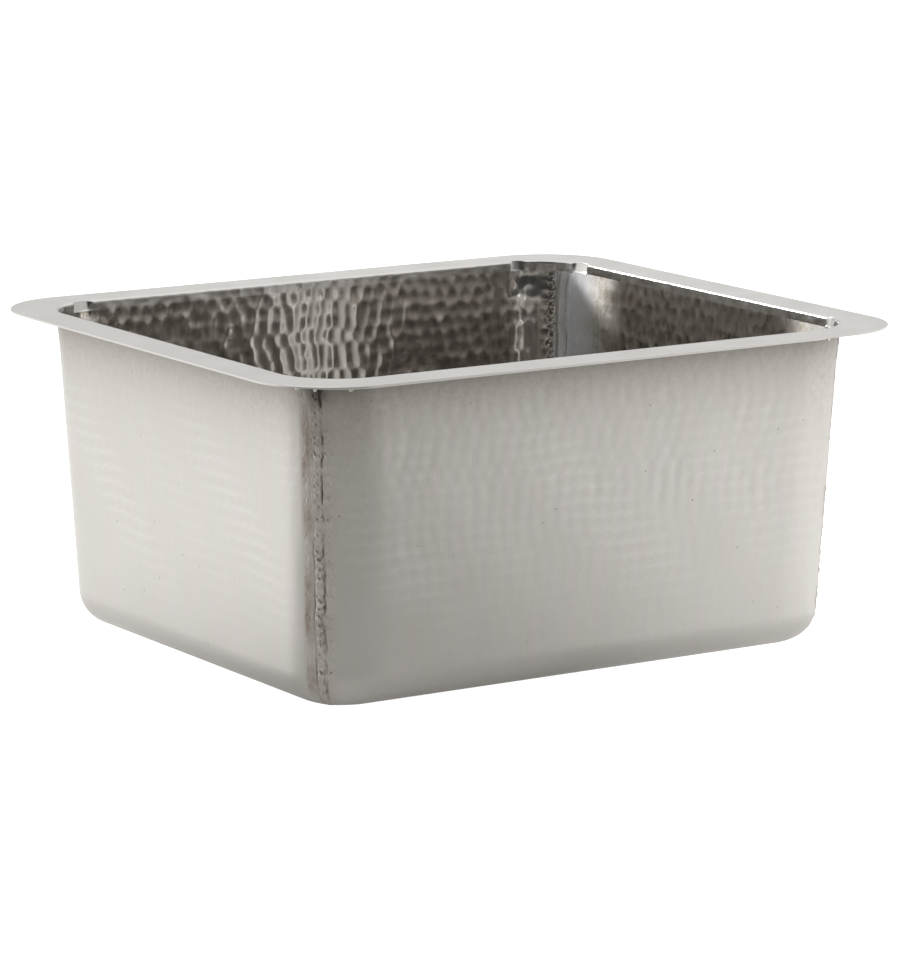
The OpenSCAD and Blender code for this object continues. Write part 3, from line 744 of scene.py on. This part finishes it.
def rounded(section, reach):
    """Closed outline with its corners eased: each one gives way to the curve
    (1-t)^2 A + 2t(1-t) P + t^2 B between the points A and B that lie so many millimetres from the corner P
    on its two sides, or a third of the side away where that is less. Each corner gives four points."""
    section = np.array(section, float)
    sides = np.roll(section, -1, 0) - section
    lengths = np.hypot(*sides.T)[:, None]
    step = np.minimum(reach, lengths / 3) / lengths * sides
    start, end = section - np.roll(step, 1, 0), section + step
    t = np.linspace(0, 1, 4)[:, None, None]
    curve = (1 - t) ** 2 * start + 2 * t * (1 - t) * section + t**2 * end
    return curve.transpose(1, 0, 2).reshape(-1, 2)


def add_rows(section, corner, count):
    """Divides the side that follows a rounded corner by so many more points."""
    place = 4 * corner + 4
    first, last = section[place - 1], section[place]
    rows = first + (last - first) * np.linspace(0, 1, count + 2)[1:-1, None]
    return np.insert(section, place, rows, 0)


def on_face(radius, face_r):
    """True where a point lies on the turned face of one radius, to a hundredth of a millimetre."""
    return np.abs(radius - face_r) < 0.01


def thread(radius, height, turn, crest, pitch, depth, low, high):
    """Cuts a thread into the turned face of one radius between two heights: the face falls by the depth
    times (1 - cos)/2 of an angle that runs once in a pitch down the axis and once in each turn."""
    phase = 2 * np.pi * height / pitch + turn
    share = smooth_step(height, low, low + pitch) * (1 - smooth_step(height, high - pitch, high))
    return radius - on_face(radius, crest) * share * depth * (0.5 - 0.5 * np.cos(phase))


def turned_piece(name, node, section, finish, body, columns=144, shape=None):
    """Piece turned round the drain's axis from an outline of radii and heights, with the floor's level as
    height 0. An outline that starts on the axis also ends on it, and any other is a loop."""
    on_axis = section[0, 0] == 0
    inner = section[1:-1] if on_axis else section
    turn = np.linspace(0, 2 * np.pi, columns, endpoint=False)
    radius, height, turn = np.broadcast_arrays(*inner.T[:, :, None], turn)
    if shape is not None:
        radius = shape(radius, height, turn)
    points = np.stack([radius * np.cos(turn), radius * np.sin(turn), height], -1).reshape(-1, 3)
    faces = [loop_faces(*radius.shape)]
    if on_axis:
        tips = np.array([[0, 0, section[0, 1]], [0, 0, section[-1, 1]]])
        points = np.concatenate([points, tips])
        faces = capped_faces(*radius.shape)
    piece = make_piece(name, points + [*DRAIN, FLOOR_Z], faces, *finish)
    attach(piece, body)
    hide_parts(node)


# Radii over the threads of the cup and the outlet, and the pitch and depth of each. The outline gives
# radius and height from the outlet's end up the inside, over the flange and down the outside.
CUP_R, OUTLET_R = 42.5, 23.9
CUP_THREAD, OUTLET_THREAD = (1.8, 0.6), (2.2, 0.8)
OUTLET_BORE_R = 19.5
OUTLET_END = -49.8
FLANGE_R, FLANGE_UNDER = 57.0, -1.5
section = rounded([
    (OUTLET_BORE_R, OUTLET_END), (OUTLET_BORE_R, -35.0), (26.0, -35.0), (40.5, -30.5), (40.5, -4.0),
    (44.0, -1.3), (50.0, 0.0), (FLANGE_R, 0.0), (FLANGE_R, FLANGE_UNDER), (50.0, FLANGE_UNDER),
    (44.0, -2.8), (CUP_R, -4.35), (CUP_R, -30.5), (25.9, -37.3), (OUTLET_R, -37.3), (OUTLET_R, OUTLET_END),
], 1.2)
section = add_rows(add_rows(section, 14, 60), 11, 120)


def with_threads(radius, height, turn):
    """The cup's thread for the lock nut, and the outlet's for the waste pipe."""
    radius = thread(radius, height, turn, CUP_R, *CUP_THREAD, -29, -8)
    return thread(radius, height, turn, OUTLET_R, *OUTLET_THREAD, -49, -39)


# The turning marks, really about 0.1 mm apart, are drawn 0.6 mm apart so that they show.
turned_steel = plain_finish(
    "turned_stainless_steel", "turned_steel", "#cbcbca", 1.0, 0.19, 0.08, 0.625, 0.16, turned=True
)
turned_piece("strainer_turned", "strainer_body", section, turned_steel, "sink", 180, with_threads)

# Seals and rings. A soft gasket lies under the strainer's flange. Under the floor come a rubber washer,
# a thin ring of vulcanised fibre that lets the nut slide, and the lugged lock nut in cast brass.


def ring_section(inner_r, outer_r, top, bottom, reach):
    """Outline of a flat ring with eased corners."""
    return rounded([(inner_r, bottom), (inner_r, top), (outer_r, top), (outer_r, bottom)], reach)


# Heights of the undersides down the stack, from the floor's sheet to the nut. The mottle of rubber and
# fibre is 1.1 mm wide, and the casting's 1.7 mm.
SHEET_UNDER = -RECESS_DEPTH - SHEET
WASHER_UNDER = SHEET_UNDER - 3.0
FIBRE_UNDER = WASHER_UNDER - 1.0
NUT_UNDER = FIBRE_UNDER - 9.0
rubber = plain_finish("black_rubber", "soft_rubber", "#232324", 0.0, 0.6, 0.2, 1.111, 0.3)
fibre = plain_finish("vulcanised_fibre", "fibre", "#9b7a50", 0.0, 0.7, 0.25, 1.111, 0.3)
brass = plain_finish("plain_brass", "plain_brass", "#b8954f", 1.0, 0.3, 0.12, 1.667, 0.15)
for name, node, ring, finish in (
    ("gasket", "flange_gasket", (50, 56, FLANGE_UNDER, -RECESS_DEPTH, 0.45), rubber),
    ("washer_below", "floor_washer", (43, 54, SHEET_UNDER, WASHER_UNDER, 0.7), rubber),
    ("fibre_ring", "friction_ring", (43, 52.5, WASHER_UNDER, FIBRE_UNDER, 0.15), fibre),
):
    turned_piece(name, node, ring_section(*ring), finish, "sink")

NUT_R = 48.5
LUG_STEP = np.pi / 4


def with_lugs(radius, height, turn):
    """Eight lugs stand out of the nut's edge, each 9 mm wide and 4 mm proud, with rounded shoulders."""
    from_lug = (turn % LUG_STEP - LUG_STEP / 2) * NUT_R
    return radius + 4 * (radius > NUT_R - 2.5) * smooth_step(4.5 - np.abs(from_lug), -0.5, 0.5)


nut_section = ring_section(CUP_R + 0.1, NUT_R, FIBRE_UNDER, NUT_UNDER, 0.9)
turned_piece("lock_nut_cast", "lock_nut", nut_section, brass, "sink", 720, with_lugs)

# Basket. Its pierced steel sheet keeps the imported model's own shape. In its floor sits a white plastic
# bush, moulded with a flange on each side and a groove for the rubber ring that grips the stem.
basket_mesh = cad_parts["strainer_basket"].data
basket_mesh.materials.clear()
basket_mesh.materials.append(turned_steel[0])
acetal = plain_finish("white_acetal", "white_plastic", "#e6e3dc", 0.0, 0.4, 0.04, 1.667, 0.1)
BORE_R = 3.05
BUSH_R, BUSH_FLANGE_R, BUSH_GROOVE_R = 6.0, 8.5, 4.85
section = rounded([
    (BORE_R, -17.7), (BUSH_FLANGE_R, -17.7), (BUSH_FLANGE_R, -19.2), (BUSH_R, -19.2), (BUSH_R, -20.0),
    (BUSH_FLANGE_R, -20.0), (BUSH_FLANGE_R, -21.9), (BORE_R, -21.9), (BORE_R, -20.7),
    (BUSH_GROOVE_R, -20.7), (BUSH_GROOVE_R, -18.9), (BORE_R, -18.9),
], 0.4)
turned_piece("bush", "stem_bush", section, acetal, "basket")
# The grip ring's height, the radius of its ring and that of its section.
GRIP_HEIGHT = -19.8
GRIP_R, GRIP_HALF = 3.95, 0.9


def arc_points(centre, radius, first, last, count):
    """Points of an arc in the plane of radius and height, between two angles in degrees."""
    angle = np.radians(np.linspace(first, last, count))
    return np.stack([centre[0] + radius * np.cos(angle), centre[1] + radius * np.sin(angle)], -1)


section = arc_points((GRIP_R, GRIP_HEIGHT), GRIP_HALF, 0, 360, 25)[:-1]
turned_piece("grip_ring", "stem_grip_ring", section, rubber, "basket")

# Stopper. A turned steel stem with two shallow grooves, where the grip ring holds it shut and open, and a
# threaded tip. It carries a chromed knob, and a plate, a rubber disc, a washer and a hexagon nut.
TRAVEL = 8.0
STEM_R, TIP_R, HOLE_R = 3.0, 2.5, 2.6
TIP_THREAD = (0.8, 0.3)
STEM_TOP, SHOULDER, STEM_END = -3.8, -30.2, -40.5
# Heights of the undersides down the tip, below the shoulder.
PLATE_UNDER, SEAL_UNDER, WASHER_END, NUT_END = -31.2, -34.7, -35.5, -39.5


def with_grooves(radius, height, turn):
    """A groove 0.25 mm deep lies where the grip ring sits when the stopper is down, and one where it sits
    when the stopper is up, and the tip has a thread."""
    grooves = ridge(height, GRIP_HEIGHT, 0.7) + ridge(height, GRIP_HEIGHT - TRAVEL, 0.7)
    grooved = radius - 0.25 * on_face(radius, STEM_R) * grooves
    return thread(grooved, height, turn, TIP_R, *TIP_THREAD, -40.2, -35.0)


section = rounded([
    (0, STEM_TOP), (STEM_R, STEM_TOP), (STEM_R, SHOULDER), (TIP_R, SHOULDER), (TIP_R, STEM_END),
    (0, STEM_END),
], 0.35)
section = add_rows(add_rows(section, 3, 80), 1, 110)[4:-4]
section = np.vstack([(0, STEM_TOP), section, (0, STEM_END)])
turned_piece("stem", "stopper_stem", section, turned_steel, "stopper", 48, with_grooves)

# The knob's outline is a dome with a fine groove near its edge, a round edge, a hollow neck and the bore.
radius = np.linspace(0, 10.0, 26)
dome = np.stack([radius, -0.8 - 0.882 * (radius / 10.244) ** 2 - 0.2 * ridge(radius, 8.3, 0.35)], -1)
edge = arc_points((9.875, -3.775), 2.125, 80, -60, 15)
neck = arc_points((7.833, -10.717), 2.833, 100, 180, 11)
bore = [(5, -13.5), (4.7, -13.8), (3.3, -13.8), (BORE_R, -13.55), (BORE_R, -3.85), (0, -3.85)]
chrome = plain_finish("polished_chrome", "polished_chrome", "#d3d5d8", 1.0, 0.06, 0.03, 5.0, 0.02)
section = np.vstack([dome, edge, neck, bore])
turned_piece("knob", "stopper_knob", section, chrome, "stopper")

for name, node, ring, finish, columns in (
    ("plate", "seal_plate", (18, SHOULDER, PLATE_UNDER, 0.35), turned_steel, 144),
    ("seal", "stopper_seal", (24, PLATE_UNDER, SEAL_UNDER, 1.0), rubber, 144),
    ("washer_small", "nut_washer", (6.5, SEAL_UNDER, WASHER_END, 0.25), turned_steel, 72),
):
    turned_piece(name, node, ring_section(HOLE_R, *ring), finish, "stopper", columns)

HALF_ACROSS = 4.0


def hexagon(radius, height, turn):
    """Six flats 8 mm apart cut the turned outline, at 4 / cos of the angle from each flat's middle."""
    return np.minimum(radius, HALF_ACROSS / np.cos(turn % (np.pi / 3) - np.pi / 6))


section = np.array([
    (HOLE_R, -39.4), (HOLE_R, -35.6), (2.7, WASHER_END), (4.1, WASHER_END), (4.62, -35.85),
    (4.62, -39.15), (4.1, NUT_END), (2.7, NUT_END),
])
turned_piece("nut_hexagon", "stem_nut", section, brass, "stopper", 96, hexagon)

# Floor and light. A pale floor lies just under the outlet. The room has white walls, a light overhead,
# and an unlit end where the photographer stands, which the metal shows as its dark parts.
DARK_END = (-0.54, -0.84, 0.0)
FLOOR_HALF = 9.0
FLOOR_GAP = 0.0006


def room_shade(tree, direction, bright, dim):
    """Brightness round the room: bright beyond 74 degrees from the dark end, and dim within 42."""
    towards = add_node(tree, "ShaderNodeVectorMath", {0: direction, 1: DARK_END}, operation="DOT_PRODUCT")
    return add_node(tree, "ShaderNodeMapRange", {0: towards, 1: 0.28, 2: 0.74, 3: bright, 4: dim})


floor_mesh = bpy.data.meshes.new("studio_floor")
corners = np.array([(-1, -1), (1, -1), (1, 1), (-1, 1)]) * FLOOR_HALF
floor_mesh.from_pydata([(x, y, cad_low[2] - FLOOR_GAP) for x, y in corners], [], [(0, 1, 2, 3)])
studio_floor = bpy.data.objects.new("studio_floor", floor_mesh)
bpy.context.scene.collection.objects.link(studio_floor)
# Its glow is white to the eye. In the metal it is dim near the sink and follows the room further out.
pale, tree, shader = new_material("pale_floor")
shader.inputs["Base Color"].default_value = linear("#c6c4c1")
shader.inputs["Roughness"].default_value = 0.9
path = add_node(tree, "ShaderNodeLightPath").outputs
place = add_node(tree, "ShaderNodeTexCoord").outputs["Object"]
level = add_node(tree, "ShaderNodeVectorMath", {0: place, 1: (1.0, 1.0, 0.0)}, operation="MULTIPLY")
outward = add_node(tree, "ShaderNodeVectorMath", {0: level}, operation="NORMALIZE")
reach = add_node(tree, "ShaderNodeVectorMath", {0: level}, operation="LENGTH")
far_share = add_node(tree, "ShaderNodeMapRange", {0: reach, 1: 0.2, 2: 0.5})
near_shade = room_shade(tree, outward, 0.31, 0.17)
far_shade = room_shade(tree, outward, 0.68, 0.0)
shade = add_node(tree, "ShaderNodeMix", {0: far_share, 2: near_shade, 3: far_shade})
in_metal = add_node(tree, "ShaderNodeMath", {0: path["Is Glossy Ray"], 1: shade}, operation="MULTIPLY")
to_eye = {0: path["Is Camera Ray"], 1: path["Is Transmission Ray"]}
seen = add_node(tree, "ShaderNodeMath", to_eye, operation="MAXIMUM")
glow = add_node(tree, "ShaderNodeMath", {0: seen, 1: 0.95, 2: in_metal}, operation="MULTIPLY_ADD")
white = add_node(tree, "ShaderNodeEmission", {"Color": (1, 1, 1, 1), "Strength": glow})
both = add_node(tree, "ShaderNodeAddShader", {0: shader, 1: white})
output = next(node for node in tree.nodes if node.type == "OUTPUT_MATERIAL")
fill_inputs(output, {"Surface": both})
pale.cycles.emission_sampling = "NONE"
floor_mesh.materials.append(pale)

world = bpy.data.worlds.new("studio")
bpy.context.scene.world = world
world.use_nodes = True
tree = world.node_tree
tree.nodes.clear()
path = add_node(tree, "ShaderNodeLightPath").outputs
heading = add_node(tree, "ShaderNodeTexCoord").outputs["Generated"]
height = add_node(tree, "ShaderNodeSeparateXYZ", {0: heading}).outputs["Z"]
overhead, raised = [
    add_node(
        tree, "ShaderNodeMapRange", {0: height, 1: low, 2: high, 3: least, 4: 1.0},
        interpolation_type="SMOOTHSTEP",
    )
    for low, high, least in ((0.84, 0.95, 0.0), (0.26, 0.42, 0.62))
]
around = room_shade(tree, heading, 1.08, 0.08)
side_light = add_node(tree, "ShaderNodeMath", {0: around, 1: raised}, operation="MULTIPLY")
room = add_node(tree, "ShaderNodeMix", {0: overhead, 2: side_light, 3: 1.1})
walls, plain_white = [
    add_node(tree, "ShaderNodeBackground", {"Color": (1, 1, 1, 1), "Strength": strength})
    for strength in (room, 1.0)
]
to_eye = {0: path["Is Camera Ray"], 1: path["Is Transmission Ray"]}
seen = add_node(tree, "ShaderNodeMath", to_eye, operation="MAXIMUM")
mixed = add_node(tree, "ShaderNodeMixShader", {0: seen, 1: walls, 2: plain_white})
add_node(tree, "ShaderNodeOutputWorld", {"Surface": mixed})


def soft_lamp(name, place, size, watts, target, spread):
    """Soft rectangular lamp that faces a point, with its light held to an angle by a grid."""
    lamp = bpy.data.lights.new(name, "AREA")
    lamp.shape = "RECTANGLE"
    lamp.size, lamp.size_y = size
    lamp.energy = watts
    lamp.spread = spread
    holder = bpy.data.objects.new(name, lamp)
    holder.location = place
    holder.visible_camera = False
    holder.rotation_euler = (Vector(target) - Vector(place)).to_track_quat("-Z", "Y").to_euler()
    bpy.context.scene.collection.objects.link(holder)


soft_lamp("lamp_left", (-1.3, 0.9, 0.4), (1.2, 1.0), 0.9, aim, np.pi)
soft_lamp("lamp_inside", (-0.35, 0.75, 0.34), (0.3, 0.3), 0.42, (0.19, -0.03, -0.06), np.radians(18))

scene = bpy.context.scene
scene.view_settings.view_transform = "Standard"
